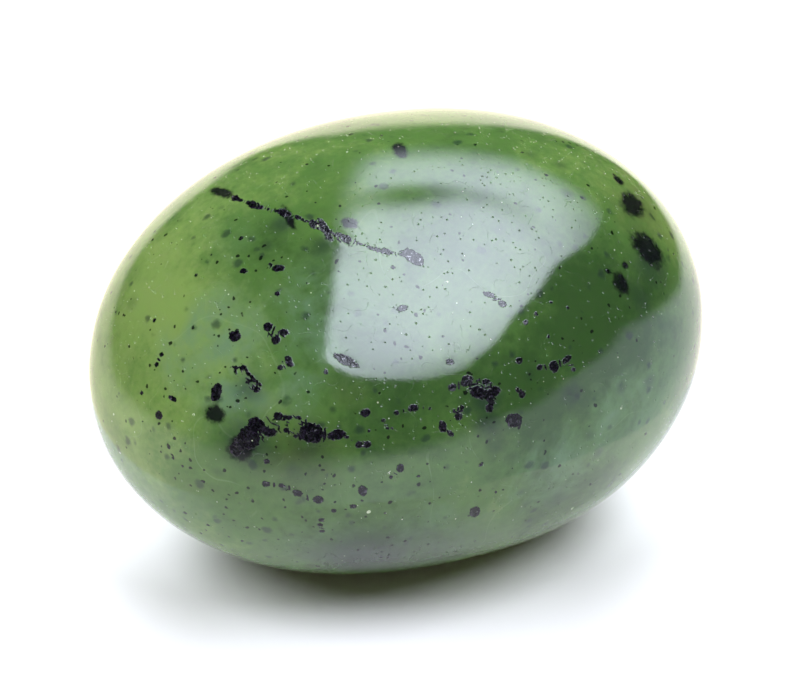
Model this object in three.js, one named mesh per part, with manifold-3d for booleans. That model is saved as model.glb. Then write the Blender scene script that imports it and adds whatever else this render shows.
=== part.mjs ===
// A tumbled jade pebble: one egg-shaped polished stone that lies on a small worn flat.
// Millimetres. +X runs along the stone, +Y across it, +Z is up, and the flat lies at z = 0.
import * as THREE from "three";
import { mergeVertices } from "three/addons/utils/BufferGeometryUtils.js";
import Module from "manifold-3d";

// The rounded body, before the flat is worn into it.
const halfLength = 15.55;
const halfWidth = 11.8;
const halfHeight = 10.7;
const fullness = 2.05; // 2 gives a true ellipsoid, and more fills it out towards a rounded block
const wornDepth = 0.4; // thickness that the flat underneath has lost

// Broad swells (+) and hollows (-) that the tumbling left, each centred on a direction
// from the middle of the stone: degrees round from +X, degrees up, height, and reach in degrees.
const swells = [
  { around: -50, up: -35, height: 0.4, reach: 35 },
  { around: -100, up: -45, height: -0.9, reach: 40 },
  { around: -115, up: -15, height: 0.35, reach: 28 },
  { around: -115, up: 28, height: -0.35, reach: 25 },
  { around: -150, up: 20, height: -0.3, reach: 28 },
  { around: -20, up: 0, height: -0.55, reach: 25 },
  { around: 60, up: 15, height: 0.25, reach: 40 },
  { around: 110, up: -15, height: -0.3, reach: 30 },
  { around: 140, up: 35, height: 0.35, reach: 30 },
  { around: 165, up: -15, height: 0.55, reach: 35 },
];

const faceting = 14; // subdivision of the icosahedron: 20 * (faceting + 1)^2 triangles
const stoneColour = 0x55752f;
const stoneRoughness = 0.12;

// Unit vector towards a place on the stone, from degrees round and degrees up.
function direction({ around, up }) {
  const polar = THREE.MathUtils.degToRad(90 - up);
  const azimuth = THREE.MathUtils.degToRad(around);
  const toward = new THREE.Vector3().setFromSphericalCoords(1, polar, azimuth);
  return new THREE.Vector3(toward.z, toward.x, toward.y);
}

// Distance from the middle of the stone to its surface along a unit vector.
function reachAlong(unit) {
  const body =
    Math.abs(unit.x / halfLength) ** fullness +
    Math.abs(unit.y / halfWidth) ** fullness +
    Math.abs(unit.z / halfHeight) ** fullness;
  let reach = body ** (-1 / fullness);
  for (const swell of swells) {
    const spread = THREE.MathUtils.degToRad(swell.reach);
    const away = 1 - unit.dot(direction(swell));
    reach += swell.height * Math.exp(-away / spread ** 2);
  }
  return reach;
}

// A unit ball with every corner moved out to the pebble's surface.
function pebbleGeometry() {
  const geometry = new THREE.IcosahedronGeometry(1, faceting);
  const positions = geometry.getAttribute("position");
  const point = new THREE.Vector3();
  for (let i = 0; i < positions.count; i += 1) {
    point.fromBufferAttribute(positions, i).normalize();
    point.multiplyScalar(reachAlong(point));
    positions.setXYZ(i, point.x, point.y, point.z);
  }
  return geometry;
}

// A slab whose top face is the ground that the stone has worn flat against.
function groundGeometry() {
  const side = 4 * halfLength;
  const thickness = halfHeight;
  const geometry = new THREE.BoxGeometry(side, side, thickness);
  return geometry.translate(0, 0, wornDepth - halfHeight - thickness / 2);
}

const wasm = await Module();
wasm.setup();

function toSolid(geometry) {
  const bare = geometry.clone();
  bare.deleteAttribute("normal");
  bare.deleteAttribute("uv");
  const merged = mergeVertices(bare, 1e-4);
  const mesh = new wasm.Mesh({
    numProp: 3,
    vertProperties: new Float32Array(merged.getAttribute("position").array),
    triVerts: new Uint32Array(merged.getIndex().array),
  });
  return new wasm.Manifold(mesh);
}

function toGeometry(solid) {
  const mesh = solid.getMesh();
  const geometry = new THREE.BufferGeometry();
  geometry.setAttribute("position", new THREE.BufferAttribute(mesh.vertProperties, 3));
  geometry.setIndex(new THREE.BufferAttribute(mesh.triVerts, 1));
  geometry.computeVertexNormals();
  return geometry;
}

// Moves the geometry so that its box stands centred on the origin.
function standOnOrigin(geometry) {
  geometry.computeBoundingBox();
  const { min, max } = geometry.boundingBox;
  return geometry.translate(-(min.x + max.x) / 2, -(min.y + max.y) / 2, -min.z);
}

const worn = toSolid(pebbleGeometry()).subtract(toSolid(groundGeometry()));
const jade = new THREE.MeshStandardMaterial({
  color: stoneColour,
  roughness: stoneRoughness,
  metalness: 0,
});
const pebble = new THREE.Mesh(standOnOrigin(toGeometry(worn)), jade);
pebble.name = "jade_pebble";

const stone = new THREE.Group();
stone.add(pebble);

export default stone;
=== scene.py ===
# Looks of a tumbled jade pebble: mottled green nephrite with black flecks, polished in a barrel.
import math
import random

import bmesh
import bpy
import numpy as np
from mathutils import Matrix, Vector


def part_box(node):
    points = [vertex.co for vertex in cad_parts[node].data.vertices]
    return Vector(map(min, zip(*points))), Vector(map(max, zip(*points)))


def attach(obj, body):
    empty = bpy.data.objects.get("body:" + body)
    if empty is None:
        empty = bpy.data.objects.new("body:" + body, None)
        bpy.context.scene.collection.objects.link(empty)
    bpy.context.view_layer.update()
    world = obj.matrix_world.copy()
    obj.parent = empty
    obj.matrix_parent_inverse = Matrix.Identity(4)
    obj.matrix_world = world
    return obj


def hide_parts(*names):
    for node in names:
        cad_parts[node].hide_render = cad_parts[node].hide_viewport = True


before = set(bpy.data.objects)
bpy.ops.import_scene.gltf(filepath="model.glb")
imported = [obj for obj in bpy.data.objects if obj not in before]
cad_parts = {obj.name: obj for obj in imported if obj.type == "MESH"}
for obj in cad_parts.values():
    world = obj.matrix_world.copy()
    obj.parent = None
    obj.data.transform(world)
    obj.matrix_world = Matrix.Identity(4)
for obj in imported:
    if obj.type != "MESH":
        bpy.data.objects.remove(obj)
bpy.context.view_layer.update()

boxLow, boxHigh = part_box("jade_pebble")
mm = 0.001
print("frame loaded")


def linear(hexColour):  # sRGB hex to linear RGBA
    parts = [int(hexColour[i:i + 2], 16) / 255 for i in (1, 3, 5)]
    return [p / 12.92 if p <= 0.04045 else ((p + 0.055) / 1.055) ** 2.4 for p in parts] + [1.0]


def nodeAdder(tree):  # hands back a function that adds one node with its links and returns an output
    def add(kind, inputs=(), output=0, **settings):
        node = tree.nodes.new("ShaderNode" + kind)
        for name, value in settings.items():
            setattr(node, name, value)
        for name, value in inputs.items() if isinstance(inputs, dict) else enumerate(inputs):
            if isinstance(value, bpy.types.NodeSocket):
                tree.links.new(value, node.inputs[name])
            else:
                node.inputs[name].default_value = value
        return node.outputs[output] if len(node.outputs) else None
    return add


def toward(around, up):  # unit vector from degrees round from +X and degrees up
    a, u = math.radians(around), math.radians(up)
    return Vector((math.cos(u) * math.cos(a), math.cos(u) * math.sin(a), math.sin(u)))


# The same form as the solid: a filled-out ellipsoid, broad swells and hollows, a worn flat.
stoneForm = {
    "fullness": 2.05,
    "wornDepth": 0.4 * mm,
    "flatEdge": 0.03 * mm,  # how softly the worn flat runs out into the round
    "facets": 128,  # quads along each edge of the cube that is blown up into the stone
    "swells": [  # degrees round, degrees up, height, reach in degrees
        (-50, -35, 0.4 * mm, 35),
        (-100, -45, -0.9 * mm, 40),
        (-115, -15, 0.35 * mm, 28),
        (-115, 28, -0.35 * mm, 25),
        (-150, 20, -0.3 * mm, 28),
        (-20, 0, -0.55 * mm, 25),
        (60, 15, 0.25 * mm, 40),
        (110, -15, -0.3 * mm, 30),
        (140, 35, 0.35 * mm, 30),
        (165, -15, 0.55 * mm, 35),
    ],
    "unevenness": 0.008 * mm,  # hand-felt ripple that a barrel polish leaves
    "rippleSize": 3.5 * mm,
    "rippleWaves": 9,
    "fleckRelief": 0.012 * mm,  # the black grains wear down a little more than the jade
    "reliefSlope": 0.2,  # mm over which the surface dips into a grain
}


def lobe(units, around, up, reach):  # a smooth round bump on the sphere of directions, 1 at its middle
    away = 1 - units @ np.array(toward(around, up))
    return np.exp(-away / math.radians(reach) ** 2)


def stoneReach(units):
    half = np.array(boxHigh - boxLow) / 2
    half[2] += stoneForm["wornDepth"] / 2
    n = stoneForm["fullness"]
    reach = (np.abs(units / half) ** n).sum(1) ** (-1 / n)
    for around, up, height, spread in stoneForm["swells"]:
        reach += height * lobe(units, around, up, spread)
    return reach


def blownCube():
    bm = bmesh.new()
    bmesh.ops.create_cube(bm, size=2)
    bmesh.ops.subdivide_edges(bm, edges=bm.edges[:], cuts=stoneForm["facets"] - 1, use_grid_fill=True)
    for v in bm.verts:  # even out the quads before the cube is blown up
        v.co = Vector(math.tan(c * math.pi / 4) for c in v.co).normalized()
    bmesh.ops.recalc_face_normals(bm, faces=bm.faces[:])
    mesh = bpy.data.meshes.new("jadeStone")
    bm.to_mesh(mesh)
    bm.free()
    return mesh


def readPoints(mesh):
    points = np.empty(len(mesh.vertices) * 3)
    mesh.vertices.foreach_get("co", points)
    return points.reshape(-1, 3)


def sineRipple(points, size, seed):  # a few crossed waves, cheaper than noise and as smooth
    draw = random.Random(seed)
    total = np.zeros(len(points))
    for _ in range(stoneForm["rippleWaves"]):
        way = toward(draw.uniform(0, 360), draw.uniform(-90, 90))
        wave = size * draw.uniform(0.7, 1.6)
        total += np.sin(points @ np.array(way) * 2 * math.pi / wave + draw.uniform(0, 6.28))
    return total / 3


# Black grains of chromite and magnetite: degrees round, degrees up, width, height, lean.
# The vein is a crack that filled with the same black mineral.
flecks = {
    "grains": [
        # left end, above the middle
        (-151, 31, 0.45, 0.42, 0), (-147, 31, 0.5, 0.3, 10), (-148, 29, 0.45, 0.42, 0),
        (-157, 27, 0.6, 0.5, 0), (-144, 26, 0.32, 0.32, 0), (-143, 25, 0.28, 0.22, 20),
        (-145, 24, 0.28, 0.26, 0), (-135, 25, 0.22, 0.24, 0), (-165, 39, 0.36, 0.28, 20),
        (-157, 43, 0.6, 0.35, 25), (-153, 38, 0.24, 0.22, 0), (-174, 44, 0.22, 0.25, 0),
        (-160, 43, 0.16, 0.16, 0), (-175, 33, 0.16, 0.16, 0), (-176, 22, 0.2, 0.24, 0),
        # left end, below the middle
        (-166, 8, 0.44, 0.42, 0), (-164, 12, 0.55, 0.24, 0), (-171, 10, 0.24, 0.22, 0),
        (-170, 16, 0.26, 0.26, 0), (-170, 18, 0.26, 0.22, 0), (-163, 3, 0.2, 0.3, 20),
        (-162, 1, 0.16, 0.16, 0), (-160, 0, 0.16, 0.16, 0), (-156, -2, 0.22, 0.18, 0),
        # the dark row along the front
        (-147, 12, 0.8, 0.7, 0), (-148, 9, 1.05, 1.0, 0), (-150, 6.5, 0.6, 0.7, 0),
        (-156, 16, 0.5, 0.9, 5), (-154, 21.5, 0.3, 0.2, 0), (-152.5, 22, 0.35, 0.24, 10),
        (-151, 21.2, 0.3, 0.18, -20), (-149.5, 20.4, 0.34, 0.2, -30), (-148.5, 18.5, 0.3, 0.22, 0),
        (-150.5, 19.6, 0.2, 0.16, 0), (-148, 19.8, 0.18, 0.18, 0), (-153.5, 20.6, 0.16, 0.14, 0),
        (-144, 11, 0.62, 0.42, 20), (-143, 14.5, 0.45, 0.36, 0), (-141, 14.5, 0.4, 0.22, 20),
        (-139, 14.8, 0.32, 0.2, 0), (-141, 12, 0.26, 0.24, 0), (-139, 11, 0.22, 0.2, 0),
        (-136, 12, 1.08, 0.98, 0), (-131, 12, 0.76, 0.52, 12), (-128.6, 11.6, 0.16, 0.16, 0),
        (-126, 10, 0.36, 0.34, 0), (-124.2, 10, 0.4, 0.36, 0), (-125, 17, 0.46, 0.42, 0),
        (-124, 13, 0.16, 0.16, 0), (-121, 15.4, 0.2, 0.18, 0), (-120, 13.6, 0.15, 0.15, 0),
        (-119, 13.5, 0.15, 0.15, 0), (-118, 17, 0.24, 0.22, 0), (-114, 18, 0.5, 0.36, 10),
        (-144, 5, 0.3, 0.26, 0), (-144, 0, 0.4, 0.36, 0), (-141, 0, 0.3, 0.26, 0),
        (-138, -1.6, 0.5, 0.36, -30), (-134, -3, 0.5, 0.48, 0), (-125, -1, 0.42, 0.62, 10),
        (-127, -5, 0.32, 0.26, 0), (-131, -6, 0.25, 0.24, 0), (-133.6, -8.4, 0.26, 0.2, 0),
        (-134, -10, 0.28, 0.26, 0), (-133.8, -12, 0.24, 0.26, -20), (-117, 4, 0.38, 0.46, 10),
        (-119, 2, 0.18, 0.2, 0), (-113, 1.5, 0.18, 0.16, 0),
        # below the lamp's reflection
        (-103, 15, 0.4, 0.36, 0), (-104, 16.6, 0.2, 0.16, 0), (-102, 17, 0.24, 0.22, 0),
        (-107, 13, 0.38, 0.6, 10), (-105, 11, 0.24, 0.24, 0), (-110, 17.6, 0.14, 0.14, 0),
        (-100, 23, 0.62, 0.52, 20), (-95, 22, 0.38, 0.3, 0), (-104, 22, 0.42, 0.38, 0),
        (-97.6, 20, 0.8, 0.56, -25), (-95, 18.8, 0.6, 0.5, 0), (-93, 19.4, 0.5, 0.5, 0),
        (-95, 15.6, 0.4, 0.42, 0), (-94.4, 17, 0.36, 0.3, 0), (-89, 11.4, 0.86, 0.66, -30),
        (-98, 2, 0.26, 0.18, 40), (-99, -12, 0.56, 0.78, 10), (-94, -7, 0.14, 0.14, 0),
        (-86, 17, 0.36, 0.36, 0), (-87, 18.6, 0.2, 0.2, 0), (-85, 25, 0.4, 0.3, 0),
        (-80, 22, 0.32, 0.28, 0), (-75, 28, 0.16, 0.16, 0), (-76, 21, 0.5, 0.6, 10),
        (-72, 21.4, 0.62, 0.32, 10), (-71, 18.6, 0.22, 0.2, 0), (-80, 33, 0.26, 0.24, 0),
        (-76, 34, 0.2, 0.2, 0), (-70, 35, 0.15, 0.15, 0), (-66, 32, 0.16, 0.16, 0),
        # inside the lamp's reflection
        (-131, 28, 1.3, 0.42, -18), (-88, 42, 0.64, 0.26, -35), (-85, 39, 0.42, 0.3, -20),
        (-117, 41, 0.5, 0.3, 20), (-104, 28, 0.4, 0.3, 0), (-121, 51, 0.2, 0.2, 0),
        # the bead row that ends in a shining scrap, and its thick middle
        (-152, 56, 1.5, 0.36, -32), (-143, 55.6, 0.9, 0.26, -28), (-113, 54, 1.15, 0.62, -35),
    ],
    "blurredGrains": [  # under a thin skin of jade, so their edges look soft
        (161, 45.5, 1.9, 0.5, 32), (150, 88, 1.4, 0.7, 15),
        (-20, 34, 2.0, 1.3, -20), (-31, 28, 1.6, 2.2, 20), (-47, 29, 0.9, 1.1, 0),
        (-42, 31, 0.4, 0.4, 0), (-48, 33, 0.3, 0.3, 0), (-12, 37, 0.8, 0.6, 0),
        (-155, 12, 0.95, 0.8, 0), (-144, 60, 0.8, 0.6, 0),
        (-149, 7, 1.1, 1.4, -20), (-168, 54, 1.6, 0.4, -20),
        (35, 40, 0.9, 0.7, 0), (80, 25, 1.2, 0.8, 20), (120, 5, 0.8, 1.3, 0),
        (100, 50, 0.6, 0.5, 0), (150, 20, 0.7, 0.5, 30), (60, -5, 1.0, 0.8, 0),
    ],
    "vein": [(168, 48), (178, 51), (-168, 55), (-150, 56), (-130, 55), (-113, 54)],
    "veinGrains": 30,
    "ragged": 0.15,  # mm that the edge of a grain wanders
    "apron": 0.14,  # mm past its edge where a grain still owns the surface
    "far": 9.0,  # stands for no grain near
    "blurFalloff": 4.4,
}


def arcPoint(stops, share):  # a place along a run of directions, share from 0 to 1
    place = share * (len(stops) - 1)
    i = min(int(place), len(stops) - 2)
    return toward(*stops[i]).slerp(toward(*stops[i + 1]), place - i)


def spreadFrom(units, points, middle, wide, high, lean):  # grain widths across and up from its middle
    across = Vector((0, 0, 1)).cross(middle).normalized()
    upward = middle.cross(across)
    c, s = math.cos(math.radians(lean)), math.sin(math.radians(lean))
    near = np.nonzero(units @ np.array(middle) > 0.95)[0]
    closest = near[np.argmax(units[near] @ np.array(middle))]
    radius = np.linalg.norm(points[closest])
    hit = points[closest] + (np.array(middle) - units[closest]) * radius
    gap = (points[near] - hit) / mm
    x = gap @ np.array(across * c + upward * s) / wide
    y = gap @ np.array(upward * c - across * s) / high
    return near, x, y


def sharpGrains():  # every crisp grain, the beads of the vein among them
    for around, up, wide, high, lean in flecks["grains"]:
        yield toward(around, up), wide, high, lean
    draw = random.Random(11)
    for i in range(flecks["veinGrains"]):
        share = (i + draw.uniform(-0.4, 0.4)) / (flecks["veinGrains"] - 1)
        middle = arcPoint(flecks["vein"], min(1, max(0, share)))
        size = draw.uniform(0.14, 0.3) if i % 5 else draw.uniform(0.35, 0.5)
        yield middle, size * 1.3, size * 0.8, draw.uniform(-45, 0)


# Each point stores where it lies from the middle of the nearest grain, in that grain's widths and
# heights. That blends straight across a face, so a grain keeps its outline however small it is.
def grainFields(units, points):
    place = np.tile((flecks["far"], 0.0, 0.0), (len(points), 1))
    size = np.full(len(points), 0.3)
    nearest = np.full(len(points), flecks["far"])
    for middle, wide, high, lean in sharpGrains():
        near, x, y = spreadFrom(units, points, middle, wide, high, lean)
        small = min(wide, high)
        out = (np.hypot(x, y) - 0.5) * small
        won = out < nearest[near]
        spot = near[won]
        nearest[spot] = out[won]
        size[spot] = small
        apart = np.where(out[won] < flecks["apron"] + small / 8, 0.0, 3.0)  # 3 lies outside any grain
        place[spot] = np.stack((x[won], y[won], apart), 1)
    return place, size, -nearest


def blurField(units, points):
    dark = np.zeros(len(points))
    for around, up, wide, high, lean in flecks["blurredGrains"]:
        near, x, y = spreadFrom(units, points, toward(around, up), wide, high, lean)
        dark[near] = np.maximum(dark[near], np.exp(-flecks["blurFalloff"] * (x * x + y * y) ** 1.3))
    return dark


# Broad tints inside the jade: degrees round, degrees up, reach in degrees, strength.
tints = {
    "pale": [
        # the lobes at the left end also paint in the glow of light passing through the thin end, over the
        # jade's own paler zone
        (180, 12, 30, 0.88), (-177, 28, 15, 1.35), (-160, 22, 8, 0.9), (-6, 42, 14, 0.5),
        (168, 50, 22, 0.7), (-160, 14, 10, 0.2),
        (-14, 28, 16, 0.8), (40, 10, 30, 0.5), (100, -30, 30, 0.6),
        (-20, -5, 18, 0.35), (60, 62, 16, 0.4), (-178, 62, 12, 0.5),
    ],
    "deep": [
        (-150, 46, 13, 0.7), (-140, 33, 12, 0.6), (-118, 15, 12, 0.7), (-104, 20, 12, 0.5),
        (-84, 20, 12, 0.9), (-62, 28, 16, 1.0), (-45, 24, 12, 0.7), (90, 35, 30, 0.6),
        # the lobe at -122, -25 paints shade on the low front, where the stone nears the floor; the rest
        # are deeper green in the jade
        (20, -25, 28, 0.5), (-125, 30, 14, 0.6), (-70, -22, 14, 0.5), (-122, -25, 14, 1.0),
        (-155, 0, 12, 0.7), (-90, 58, 18, 0.7), (-167, 43, 10, 1.0), (170, 64, 14, 0.4),
        (-172, 14, 9, 0.3), (-138, 3, 7, 0.6), (-137, -16, 10, 0.5),
    ],
    "olive": [  # brownish stain around the dark row
        (-138, 3, 6, 0.45), (-138, 8, 9, 0.8), (-148, 12, 7, 0.6), (-130, 22, 8, 0.5), (-96, 8, 7, 0.5),
        (-20, 32, 9, 0.8), (-120, 6, 9, 0.4), (-110, -4, 8, 0.4), (75, 0, 14, 0.5),
    ],
    "veil": [  # milky grey where the fibres lie crossed, low on the front partly painted sheen
        # the lobe at -112, -12, low on the front, also paints part of the floor's grey sheen
        (-152, 16, 7, 0.9), (-140, 20, 6, 0.7), (-163, 22, 8, 0.8), (-112, -12, 10, 0.6),
        (-168, -6, 14, 0.35), (-80, -6, 12, 0.7), (-138, 37, 13, 0.7), (-160, 27, 8, 0.95),
        (-60, 2, 12, 0.6), (150, 40, 14, 0.4), (60, 40, 18, 0.5), (-130, -18, 16, 0.5),
        (-125, 60, 10, 0.4), (-178, 40, 10, 0.4), (-104, -20, 14, 0.5),
    ],
    "sunkenAndShade": [  # dark grains well under the surface, seen soft through the jade; two broad lobes are painted shade
        # these two broad lobes are painted shade low on the front, where the stone nears the floor
        (-126, -24, 8, 0.95), (-100, -27, 12, 0.5),
        (-148, 8, 5.0, 0.75), (-150, 19, 3.0, 0.6), (-168, 52, 2.4, 0.7), (-149, 52, 2.4, 0.6),
        (-124, 9, 1.4, 0.5), (-139, 4, 1.5, 0.55), (-153, 1, 1.2, 0.45), (-136, 10, 4.0, 0.5),
        (-96, 12, 3.0, 0.7), (-94, 6, 2.4, 0.5), (-90, 2, 2.0, 0.45), (-96, 18, 3.4, 0.7),
        (-73, 13, 2.6, 0.75), (-70, 10, 2.0, 0.5), (-59, 9, 1.5, 0.5), (-50, 6, 2.0, 0.5),
        (-64, 11, 1.2, 0.4), (-66, -5, 1.6, 0.5), (-69, 1, 1.4, 0.5), (-87, -9, 1.3, 0.5),
        (-84, -5, 1.8, 0.4), (-76, -16, 3.0, 0.5), (-34, 25, 5.0, 0.7), (-44, 23, 3.4, 0.6),
        (-83, 21, 1.5, 0.5), (-33, 50, 1.5, 0.6), (-14, 59, 1.6, 0.5), (-17, 52, 1.6, 0.5),
        (-72, 56, 1.6, 0.5), (-60, 48, 1.8, 0.4), (-142, 52, 2.2, 0.5), (-165, 46, 1.4, 0.5),
        (-113, 33, 2.5, 0.4), (-104, 33, 2.4, 0.45), (-80, 36, 2.6, 0.4), (-47, 69, 1.6, 0.4),
        (-85, -14, 1.5, 0.4), (-156, 12, 1.8, 0.5), (-118, 25, 3.0, 0.35), (-130, -14, 2.0, 0.4),
        (175, 21, 1.6, 0.4), (20, 45, 3.0, 0.6), (70, 20, 2.5, 0.6), (120, 10, 3.5, 0.7),
        (80, 60, 2.5, 0.5), (150, -20, 3.0, 0.5), (45, -10, 2.5, 0.6), (10, 10, 2.0, 0.5),
    ],
    "specks": [  # where pin-prick grains crowd
        (-152, 21, 4.0, 0.9), (-157, 16, 3.0, 0.9), (-158, 10, 12, 0.6), (-145, -4, 12, 0.6),
        (-130, -8, 14, 0.7), (-165, 25, 10, 0.5), (-98, 16, 8, 0.6), (-112, -12, 14, 0.55),
        (-76, 24, 8, 0.4), (110, 10, 24, 0.5), (30, 20, 20, 0.4), (-120, 45, 14, 0.3),
    ],
}


def tintField(units, name):
    total = np.zeros(len(units))
    for around, up, reach, strength in tints[name]:
        total = np.maximum(total, strength * lobe(units, around, up, reach))
    return total


def setAttribute(mesh, name, values):
    kind, key = ("FLOAT", "value") if values.ndim == 1 else ("FLOAT_VECTOR", "vector")
    layer = mesh.attributes.new(name, kind, "POINT")
    layer.data.foreach_set(key, values.astype(np.float32).ravel())


def makeStone():
    mesh = blownCube()
    units = readPoints(mesh)
    points = units * stoneReach(units)[:, None]
    place, grainSize, depth = grainFields(units, points)
    fields = {"grainPlace": place, "grainSize": grainSize, "blurredGrain": blurField(units, points)}
    fields.update((name, tintField(units, name)) for name in ("olive", "veil", "sunkenAndShade", "specks"))
    # tone: pale lobes less deep lobes, among them painted glow at the left end and painted shade on the
    # low front
    fields["tone"] = (tintField(units, "pale") - tintField(units, "deep")) / 2
    size = points.max(0) - points.min(0)
    low = points.min(0)
    wanted = np.array(boxHigh - boxLow)
    scale = wanted / (size - np.array((0, 0, stoneForm["wornDepth"])))
    points = (points - (low + size / 2)) * scale  # the box of the solid, before the flat
    points[:, 2] += wanted[2] / 2 - stoneForm["wornDepth"] * scale[2] / 2
    ripple = sineRipple(points, stoneForm["rippleSize"], 5) * stoneForm["unevenness"]
    dip = stoneForm["fleckRelief"] * np.clip(depth / stoneForm["reliefSlope"] + 0.5, 0, 1)
    points = points + units * (ripple - dip)[:, None]
    edge = stoneForm["flatEdge"]
    points[:, 2] = edge * np.logaddexp(0, points[:, 2] / edge)  # soft floor at the worn flat
    points[:, 2] -= points[:, 2].min()
    mesh.vertices.foreach_set("co", points.ravel())
    for name, values in fields.items():
        setAttribute(mesh, name, values)
    mesh.shade_smooth()
    mesh.update()
    stone = bpy.data.objects.new("jadeStone", mesh)
    bpy.context.scene.collection.objects.link(stone)
    return stone


# Nephrite is felted amphibole fibre: light sinks a millimetre or two in and comes back
# green, so edges glow and dark grains below look soft. Barrel polish leaves it glassy.
jade = {
    # the deep and pale greens also carry the painted shade low on the front and the painted glow of the
    # thin left end
    "deepGreen": "#37542b",
    "midGreen": "#52743a",
    "paleGreen": "#7f9a54",
    "oliveStain": "#43512b",
    "veilGrey": "#658369",
    # also the colour of the painted shade low on the front
    "sunkenAndShadeDark": "#24352e",
    "blurredDark": "#101216",
    "threadPale": "#9db58c",
    # pale base colour of the painted glints
    "glintPale": "#dfe8cc",
    "grainDark": "#0b0b0f",
    "grainLight": "#2f2c37",
    "ior": 1.61,
    "grainIor": 2.3,  # chromite, whose broken faces flash
    "polish": 0.06,
    "grainRoughness": 0.14,
    "grainSpecular": 0.34,  # unbroken grain wears duller than jade
    "lightPath": 2.5 * mm,
    "toMid": (0.35, 0.8),  # tones over which deep green turns to mid green
    "toPale": (0.75, 1.25),
    # how strongly each kind of mark covers the green
    "threadStrength": 0.1,
    "sunkStrength": 0.65,
    "speckStrength": 0.9,
    "glintStrength": 0.75,
    # sizes below are in millimetres, and shares have no unit
    "cloudSize": 6.0,
    "cloudShare": 0.7,
    "mottleSize": 1.6,
    "mottleShare": 0.56,
    "feltSize": 0.35,  # the real felt is finer than this and wouldn't show
    "feltShare": 0.26,
    "speckSpacing": 0.42,
    "speckRadius": 0.1,
    "dotSpacing": 0.95,
    "dotRadius": 0.25,
    "glintSpacing": 0.36,
    "glintRadius": 0.036,
    "scrapGlintSpacing": 1.1,  # painted glints: torn pale scraps in the base colour standing in for light caught on the polish
    "scrapGlintRadius": 0.15,
    "pitSpacing": 0.2,
    "pitRadius": 0.045,
    "pitDepth": 0.04,
    "skinGrain": 0.1,  # polishing marks, drawn coarser than the real ones
    "skinHeight": 0.0014,
    "scratchSize": 1.6,
    "scratchDepth": 0.008,
    "grainTexture": 0.14,
    "grainHeight": 0.02,
    "threadSize": 8.0,
    "threadWidth": 0.0015,
}


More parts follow.
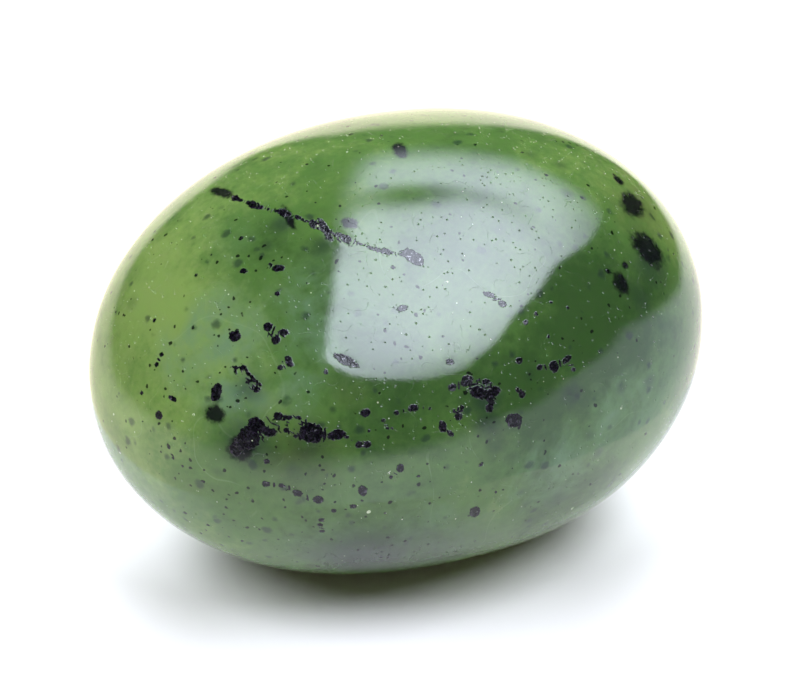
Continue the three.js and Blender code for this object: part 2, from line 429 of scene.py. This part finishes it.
def polishedJade():
    mat = bpy.data.materials.new("polishedNephriteJade")
    mat.use_nodes = True
    mat.node_tree.nodes.clear()
    add = nodeAdder(mat.node_tree)
    smooth = {"interpolation_type": "SMOOTHSTEP"}
    rgba = {"data_type": "RGBA", "output": 2}
    inMm = add("VectorMath", {0: add("TexCoord", output="Object"), "Scale": 1 / mm}, operation="SCALE")

    def dots(vector, spacing, radius, share, soft):  # round dots, kept in the given share of cells
        gap = add("TexVoronoi", {"Vector": vector, "Scale": 1 / spacing})
        draw = add("SeparateColor", (gap.node.outputs["Color"],))
        kept = add("Math", (draw, share), operation="LESS_THAN")
        gap = add("Math", (gap, spacing), operation="MULTIPLY")
        own = add("Math", (draw.node.outputs[1], radius * 0.7, radius * 0.3), operation="MULTIPLY_ADD")
        inside = add("Math", (own, gap), operation="SUBTRACT")
        inside = add("MapRange", (inside, -soft, soft), **smooth)
        return add("Math", (inside, kept), operation="MULTIPLY")

    # body colour: deep to pale green in clouds a few millimetres wide. The tone attribute also holds
    # painted shade on the low front and painted glow at the thin left end
    wander = add("TexNoise", {"Vector": inMm, "Scale": 0.2, "Detail": 2}, "Color")
    shift = add("VectorMath", (wander, (4, 4, 4), inMm), operation="MULTIPLY_ADD")
    broad = add("TexNoise", {"Vector": shift, "Scale": 1 / jade["cloudSize"], "Detail": 3})
    mottle = add("TexNoise", {"Vector": shift, "Scale": 1 / jade["mottleSize"], "Detail": 4,
                              "Roughness": 0.6})
    felt = add("TexNoise", {"Vector": inMm, "Scale": 1 / jade["feltSize"], "Roughness": 0.6})
    tone = add("Attribute", output="Fac", attribute_name="tone")
    tone = add("Math", (broad, jade["cloudShare"], tone), operation="MULTIPLY_ADD")
    tone = add("Math", (mottle, jade["mottleShare"], tone), operation="MULTIPLY_ADD")
    tone = add("Math", (felt, jade["feltShare"], tone), operation="MULTIPLY_ADD")
    light = add("MapRange", (tone, *jade["toMid"]), **smooth)
    green = add("Mix", {0: light, 6: linear(jade["deepGreen"]), 7: linear(jade["midGreen"])}, **rgba)
    light = add("MapRange", (tone, *jade["toPale"]), **smooth)
    green = add("Mix", {0: light, 6: green, 7: linear(jade["paleGreen"])}, **rgba)
    stain = add("Attribute", output="Fac", attribute_name="olive")
    stain = add("Math", (stain, mottle), operation="MULTIPLY")
    stain = add("MapRange", (stain, 0.1, 0.6, 0, 0.8), **smooth)
    green = add("Mix", {0: stain, 6: green, 7: linear(jade["oliveStain"])}, **rgba)
    # milky grey veil, low on the front partly painted sheen of the floor
    milk = add("Attribute", output="Fac", attribute_name="veil")
    milk = add("Math", (milk, mottle), operation="MULTIPLY")
    milk = add("MapRange", (milk, 0.12, 0.6, 0, 0.85), **smooth)
    green = add("Mix", {0: milk, 6: green, 7: linear(jade["veilGrey"])}, **rgba)

    # fine pale threads, where a crack has healed
    line = add("TexNoise", {"Vector": inMm, "Scale": 1 / jade["threadSize"], "Detail": 1.5})
    line = add("Math", (line, 0.5, jade["threadWidth"]), operation="COMPARE")
    line = add("Math", (line, jade["threadStrength"]), operation="MULTIPLY")
    broken = add("MapRange", (broad, 0.5, 0.6), **smooth)
    line = add("Math", (line, broken), operation="MULTIPLY")
    green = add("Mix", {0: line, 6: green, 7: linear(jade["threadPale"])}, **rgba)

    # dark grains seen through the jade, and painted shade low on the front where the stone nears the floor
    bend = add("TexNoise", {"Vector": inMm, "Scale": 2, "Detail": 2}, "Color")
    wavy = add("VectorMath", (bend, (0.35, 0.35, 0.35), inMm), operation="MULTIPLY_ADD")
    sunkenAndShade = add("Math", (mottle, 1.2, 0.4), operation="MULTIPLY_ADD")
    sunkenAndShade = add("Math", (sunkenAndShade, add("Attribute", output="Fac", attribute_name="sunkenAndShade")),
                operation="MULTIPLY")
    sunkenAndShade = add("MapRange", (sunkenAndShade, 0.1, 0.95, 0, 0.85), **smooth)
    colour = add("Mix", {0: sunkenAndShade, 6: green, 7: linear(jade["sunkenAndShadeDark"])}, **rgba)
    crowd = add("Attribute", output="Fac", attribute_name="specks")
    share = add("Math", (crowd, 0.35, 0.45), operation="MULTIPLY_ADD")
    sunk = dots(wavy, jade["dotSpacing"], jade["dotRadius"], share, 0.1)
    sunk = add("Math", (sunk, jade["sunkStrength"]), operation="MULTIPLY")
    colour = add("Mix", {0: sunk, 6: colour, 7: linear(jade["sunkenAndShadeDark"])}, **rgba)
    rough = add("TexNoise", {"Vector": inMm, "Scale": 3, "Detail": 3, "Roughness": 0.65}, "Color")
    blurred = add("Attribute", output="Fac", attribute_name="blurredGrain")
    blurred = add("Math", (rough.node.outputs[0], 0.9, blurred), operation="MULTIPLY_ADD")
    blurred = add("MapRange", (blurred, 0.66, 1.2, 0, 0.95), **smooth)
    colour = add("Mix", {0: blurred, 6: colour, 7: linear(jade["blurredDark"])}, **rgba)

    # pin-prick grains and crisp ones with a ragged outline
    share = add("Math", (crowd, 0.8, 0.15), operation="MULTIPLY_ADD")
    speck = dots(wavy, jade["speckSpacing"], jade["speckRadius"], share, 0.02)
    speck = add("Math", (speck, jade["speckStrength"]), operation="MULTIPLY")
    colour = add("Mix", {0: speck, 6: colour, 7: linear(jade["grainDark"])}, **rgba)
    place = add("Attribute", output="Vector", attribute_name="grainPlace")
    place = add("VectorMath", (rough, (0.36, 0.36, 0), place), operation="MULTIPLY_ADD")
    off = add("VectorMath", (place, (0.18, 0.18, 0)), "Value", operation="DISTANCE")
    depth = add("Math", (0.5, off), operation="SUBTRACT")
    depth = add("Math", (depth, add("Attribute", output="Fac", attribute_name="grainSize")),
                operation="MULTIPLY")
    fine = add("TexNoise", {"Vector": inMm, "Scale": 1 / jade["skinGrain"], "Roughness": 0.6})
    wobble = add("Math", (fine, 0.5), operation="SUBTRACT")
    depth = add("Math", (wobble, flecks["ragged"], depth), operation="MULTIPLY_ADD")
    grain = add("MapRange", (depth, -0.015, 0.02), **smooth)
    shine = add("TexNoise", {"Vector": inMm, "Scale": 1 / jade["grainTexture"], "Roughness": 0.7})
    light = add("MapRange", (shine, 0.45, 0.75), **smooth)
    mineral = add("Mix", {0: light, 6: linear(jade["grainDark"]), 7: linear(jade["grainLight"])}, **rgba)
    colour = add("Mix", {0: grain, 6: colour, 7: mineral}, **rgba)

    # painted glints: pale dots and torn scraps mixed into the base colour stand in for sparkle. Then pits,
    # bright beside the lamp's reflection and dark inside it
    share = add("MapRange", (mottle, 0.48, 0.68, 0.08, 0.6))
    glint = dots(inMm, jade["glintSpacing"], jade["glintRadius"], share, 0.012)
    share = add("Math", (crowd, 0.3, 0.08), operation="MULTIPLY_ADD")
    scrapGlint = dots(wavy, jade["scrapGlintSpacing"], jade["scrapGlintRadius"], share, 0.02)
    torn = add("MapRange", (shine, 0.44, 0.54), **smooth)
    scrapGlint = add("Math", (scrapGlint, torn), operation="MULTIPLY")
    glint = add("Math", (glint, scrapGlint), operation="MAXIMUM")
    glint = add("Math", (glint, jade["glintStrength"]), operation="MULTIPLY")
    colour = add("Mix", {0: glint, 6: colour, 7: linear(jade["glintPale"])}, **rgba)
    share = add("MapRange", (mottle, 0.44, 0.66, 0.08, 0.5))
    pit = dots(inMm, jade["pitSpacing"], jade["pitRadius"], share, 0.02)
    height = add("Math", (fine, jade["skinHeight"]), operation="MULTIPLY")
    height = add("Math", (pit, -jade["pitDepth"], height), operation="MULTIPLY_ADD")
    scratch = add("TexNoise", {"Vector": inMm, "Scale": 1 / jade["scratchSize"], "Detail": 1})
    scratch = add("Math", (scratch, 0.5, 0.003), operation="COMPARE")
    scratch = add("Math", (scratch, add("MapRange", (bend, 0.5, 0.6))), operation="MULTIPLY")
    height = add("Math", (scratch, -jade["scratchDepth"], height), operation="MULTIPLY_ADD")
    rise = add("Math", (shine, grain), operation="MULTIPLY")
    height = add("Math", (rise, jade["grainHeight"], height), operation="MULTIPLY_ADD")
    bump = add("Bump", {"Strength": 1, "Distance": mm, "Height": height})
    gloss = add("MapRange", (grain, 0, 1, jade["polish"], jade["grainRoughness"]))
    flash = add("MapRange", (shine, 0.6, 0.68), **smooth)
    flash = add("Math", (flash, grain), operation="MULTIPLY")
    dull = add("Math", (grain, speck), operation="MAXIMUM")
    dull = add("Math", (dull, flash), operation="SUBTRACT")
    skin = add("BsdfPrincipled", {
        "Base Color": colour,
        "Roughness": gloss,
        "IOR": add("MapRange", (flash, 0, 1, jade["ior"], jade["grainIor"])),
        "Specular IOR Level": add("MapRange", (dull, 0, 1, 0.5, jade["grainSpecular"])),
        "Normal": bump,
        "Subsurface Weight": 0.8,
        "Subsurface Radius": (0.5, 1.0, 0.35),
        "Subsurface Scale": jade["lightPath"],
    })
    add("OutputMaterial", {"Surface": skin})
    return mat


stone = makeStone()
stone.data.materials.append(polishedJade())
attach(stone, "root")
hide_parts("jade_pebble")
print("stone made:", len(stone.data.polygons), "quads")

cameraPlace = {
    "azimuth": -25,
    "elevation": 32.5,
    "distance": 0.2,
    "lens": 184.4,
    "slide": -0.079 * mm,
    "lift": -0.014 * mm,
}


def makeCamera():
    a, e = math.radians(cameraPlace["azimuth"]), math.radians(cameraPlace["elevation"])
    back = Vector((math.sin(a) * math.cos(e), -math.cos(a) * math.cos(e), math.sin(e)))
    right = Vector((math.cos(a), math.sin(a), 0))
    data = bpy.data.cameras.new("camera")
    data.lens = cameraPlace["lens"]
    data.clip_start = 0.01
    camera = bpy.data.objects.new("camera", data)
    middle = (boxLow + boxHigh) / 2
    aim = middle + right * cameraPlace["slide"] + back.cross(right) * cameraPlace["lift"]
    camera.location = aim + back * cameraPlace["distance"]
    camera.rotation_euler = back.to_track_quat("Z", "Y").to_euler()
    bpy.context.scene.collection.objects.link(camera)
    bpy.context.scene.camera = camera
    return back, right


back, right = makeCamera()
forward = Vector((back.x, back.y, 0)).normalized()  # over the floor, towards the camera

studio = {
    "nearRadius": 0.022,  # only this much of the floor is mirrored, the rest is mirroredRoom
    "floorRadius": 0.6,
    "floorWhite": "#f8f8fa",
    "wallHeight": 0.18,
    "wallTint": "#fff6ea",
    "wallGlow": 1.1,
    "lampReach": 0.55,
    "lampSize": 0.34,
    "lampTint": "#f4f7ff",
    "lamps": {  # degrees to the right of the camera, degrees up, watts
        "lampLeft": (-60, 52, 2.15),
        "lampRight": (60, 57, 2.5),
        "lampBack": (177, 28, 4.3),
    },
    "roundness": 96,  # sides of each round card
    "roomTint": "#ffd6aa",
    "roomStrength": 0.1,
}


def plainMaterial(name, shader, inputs):
    mat = bpy.data.materials.new(name)
    mat.use_nodes = True
    mat.node_tree.nodes.clear()
    add = nodeAdder(mat.node_tree)
    add("OutputMaterial", {"Surface": add(shader, inputs(add))})
    return mat


def stageMesh(name, bm, material):
    mesh = bpy.data.meshes.new(name)
    bm.to_mesh(mesh)
    bm.free()
    mesh.materials.append(material)
    made = bpy.data.objects.new(name, mesh)
    bpy.context.scene.collection.objects.link(made)
    return made


def band(radius, outward, rise):  # from a circle on the floor, outwards or up
    bm = bmesh.new()
    circle = bmesh.ops.create_circle(bm, segments=studio["roundness"], radius=radius)["verts"]
    edges = list({e for v in circle for e in v.link_edges})
    grown = bmesh.ops.extrude_edge_only(bm, edges=edges)["geom"]
    moved = [g for g in grown if isinstance(g, bmesh.types.BMVert)]
    bmesh.ops.scale(bm, verts=moved, vec=(outward, outward, 1))
    bmesh.ops.translate(bm, verts=moved, vec=(0, 0, rise))
    return bm


def makeFloor():  # a white card and a lit white backdrop all round
    card = plainMaterial("mattWhiteCard", "BsdfPrincipled", lambda add: {
        "Base Color": linear(studio["floorWhite"]), "Roughness": 0.8, "Specular IOR Level": 0.1})
    bm = bmesh.new()
    bmesh.ops.create_circle(bm, cap_ends=True, segments=studio["roundness"], radius=studio["nearRadius"])
    stageMesh("floorNear", bm, card)
    wide = studio["floorRadius"] / studio["nearRadius"]
    floor = stageMesh("floor", band(studio["nearRadius"], wide, 0), card)
    glow = plainMaterial("litBackdrop", "Emission", lambda add: {
        "Color": linear(studio["wallTint"]), "Strength": studio["wallGlow"]})
    wall = stageMesh("backdrop", band(studio["floorRadius"], 1, studio["wallHeight"]), glow)
    wall.visible_diffuse = False
    for made in (floor, wall):
        made.visible_glossy = False


def makeLamps():  # three soft discs that keep the shadow small and lead it towards the camera
    for name, (turn, rise, power) in studio["lamps"].items():
        data = bpy.data.lights.new(name, "AREA")
        data.shape = "DISK"
        data.size = studio["lampSize"]
        data.energy = power
        data.color = linear(studio["lampTint"])[:3]
        lamp = bpy.data.objects.new(name, data)
        way = toward(turn, rise)
        away = forward * way.x + right * way.y + Vector((0, 0, way.z))
        lamp.location = away * studio["lampReach"]
        lamp.rotation_euler = away.to_track_quat("Z", "Y").to_euler()
        lamp.visible_camera = False
        lamp.visible_glossy = False
        bpy.context.scene.collection.objects.link(lamp)


# What the polish mirrors. Places on the softbox are in its own heights above the floor: how far
# towards the camera, how far to the right. Angles of the room start at the camera and grow to
# its right.
mirrored = {
    "boxHeight": 0.5,
    "boxTint": "#e5edff",
    "boxGlow": 10.8,
    "hotSpot": (0.4, 0.42),
    "hotReach": (1.7, 1.0),
    "boxLeft": -0.11,
    "boxLeftSoftness": (0.03, 0.09),  # nearer than the stone, and beyond it
    "boxRight": [(-1.3, 1.6), (-0.5, 1.3), (0.0, 1.06), (0.7, 0.98), (1.6, 1.15), (2.0, 1.3)],
    "boxNear": [(-0.15, 1.1), (0.1, 1.55), (0.35, 1.8), (0.8, 2.05), (1.3, 2.15)],
    "boxFar": (-1.8, -0.9),
    "boxRightSoftness": 0.05,
    "boxNearSoftness": 0.04,
    "boxSpread": 2.3,
    "boxGrid": 160,
    # the lamp's ring inside the softbox shows as a soft dark arc with a darker start
    "ringCentre": (0.29, 0.19),
    "ringRadius": 0.83,
    "ringWidth": 0.2,
    "ringDark": 0.45,
    "ringStart": (-0.5, 0.08),
    "startReach": 0.15,
    "startDark": 0.9,
    # where the lit table ends and the dark room begins: degrees round, degrees up
    "tableEnd": [(-180, 13), (-173, 10), (-168, -5), (-160, 4), (-145, -3), (-110, -13), (-70, -12),
                 (-20, -16), (0, -15), (30, -9), (60, 1), (90, 3.5), (113, -5), (130, -11), (162, -13),
                 (167, -3), (173, 10), (180, 13)],
    "tableSoftness": [(-180, 7), (-165, 4), (-90, 6), (-20, 10), (30, 8), (60, 3), (160, 3), (180, 7)],
    "tableGlow": [(-180, 2.0), (-140, 1.2), (-90, 1.35), (-30, 1.25), (15, 1.75), (50, 1.1),
                  (100, 1.35), (150, 1.6), (180, 2.0)],
    "tableTint": [(-180, "#fff3dd"), (-90, "#fffaf0"), (0, "#eef0ff"), (110, "#dfe4ff"), (180, "#fff3dd")],
    "veil": 0.5,  # haze of the ceiling, above the left side
    "veilFrom": 28,  # degrees up
    "roomSize": 1.6,
}


def fade(values, low, high):  # a smooth step from 0 at low to 1 at high
    share = np.clip((values - low) / (high - low), 0, 1)
    return share * share * (3 - 2 * share)


def softboxGlow(ahead, aside):
    ahead, aside = ahead / mirrored["boxHeight"], aside / mirrored["boxHeight"]
    spot, reach = mirrored["hotSpot"], mirrored["hotReach"]
    glow = np.exp(-((ahead - spot[0]) / reach[0]) ** 2 - ((aside - spot[1]) / reach[1]) ** 2)
    ring = np.hypot(ahead - mirrored["ringCentre"][0], aside - mirrored["ringCentre"][1])
    arc = 1 - fade(np.abs(ring - mirrored["ringRadius"]), 0, mirrored["ringWidth"])
    arc *= (1 - fade(ahead, -0.3, 0.1)) * (1 - fade(aside, 0.2, 1.0))
    start = np.hypot(ahead - mirrored["ringStart"][0], aside - mirrored["ringStart"][1])
    start = np.exp(-(start / mirrored["startReach"]) ** 2)
    glow *= (1 - mirrored["ringDark"] * arc) * (1 - mirrored["startDark"] * start)
    crisp, soft = mirrored["boxLeftSoftness"]
    width = soft + (crisp - soft) * fade(ahead, -0.4, 0.1)
    glow *= fade(aside, mirrored["boxLeft"] - width, mirrored["boxLeft"] + width)
    end, width = np.interp(ahead, *zip(*mirrored["boxRight"])), mirrored["boxRightSoftness"]
    glow *= 1 - fade(aside, end - width, end + width)
    end, width = np.interp(aside, *zip(*mirrored["boxNear"])), mirrored["boxNearSoftness"]
    glow *= 1 - fade(ahead, end - width, end + width)
    return glow * fade(ahead, *mirrored["boxFar"]) * mirrored["boxGlow"]


def mirroredCard(name, bm, tint, glow):  # glow and tint are stored at its points
    mat = plainMaterial(name + "Glow", "Emission", lambda add: {
        "Color": add("Attribute", output="Color", attribute_name="tint"),
        "Strength": add("Attribute", output="Fac", attribute_name="glow")})
    mat.cycles.emission_sampling = "NONE"
    card = stageMesh(name, bm, mat)
    setAttribute(card.data, "glow", glow)
    setAttribute(card.data, "tint", tint)
    card.visible_camera = False
    card.visible_diffuse = False
    card.visible_shadow = False


def makeSoftbox():
    bm = bmesh.new()
    fine, half = mirrored["boxGrid"], mirrored["boxSpread"] * mirrored["boxHeight"]
    bmesh.ops.create_grid(bm, x_segments=fine, y_segments=fine, size=half)
    bmesh.ops.translate(bm, verts=bm.verts, vec=(0, 0, mirrored["boxHeight"]))
    points = np.array([v.co for v in bm.verts])
    glow = softboxGlow(points @ np.array(forward), points @ np.array(right))
    tint = np.tile(linear(mirrored["boxTint"])[:3], (len(points), 1))
    mirroredCard("softbox", bm, tint, glow)


def makeMirroredRoom():
    bm = bmesh.new()
    bmesh.ops.create_uvsphere(bm, u_segments=180, v_segments=120, radius=mirrored["roomSize"])
    way = np.array([v.co.normalized() for v in bm.verts])
    up = np.degrees(np.arcsin(np.clip(way[:, 2], -1, 1)))
    around = np.degrees(np.arctan2(way @ np.array(right), way @ np.array(forward)))
    end = np.interp(around, *zip(*mirrored["tableEnd"]))
    soft = np.interp(around, *zip(*mirrored["tableSoftness"]))
    table = (1 - fade(up, end - soft, end + soft)) * np.interp(around, *zip(*mirrored["tableGlow"]))
    veil = fade(up, mirrored["veilFrom"] - 10, mirrored["veilFrom"] + 20) * mirrored["veil"]
    veil *= 1 - 0.85 * fade(way @ np.array(right), -0.3, 0.4)
    turns, hues = zip(*mirrored["tableTint"])
    tint = np.stack([np.interp(around, turns, [linear(h)[i] for h in hues]) for i in range(3)], 1)
    mirroredCard("mirroredRoom", bm, tint, table + veil)


makeFloor()
makeLamps()
makeSoftbox()
makeMirroredRoom()
world = bpy.data.worlds.new("room")
world.use_nodes = True
world.node_tree.nodes["Background"].inputs["Color"].default_value = linear(studio["roomTint"])
world.node_tree.nodes["Background"].inputs["Strength"].default_value = studio["roomStrength"]
bpy.context.scene.world = world
bpy.context.scene.view_settings.view_transform = "Standard"
print("studio made")
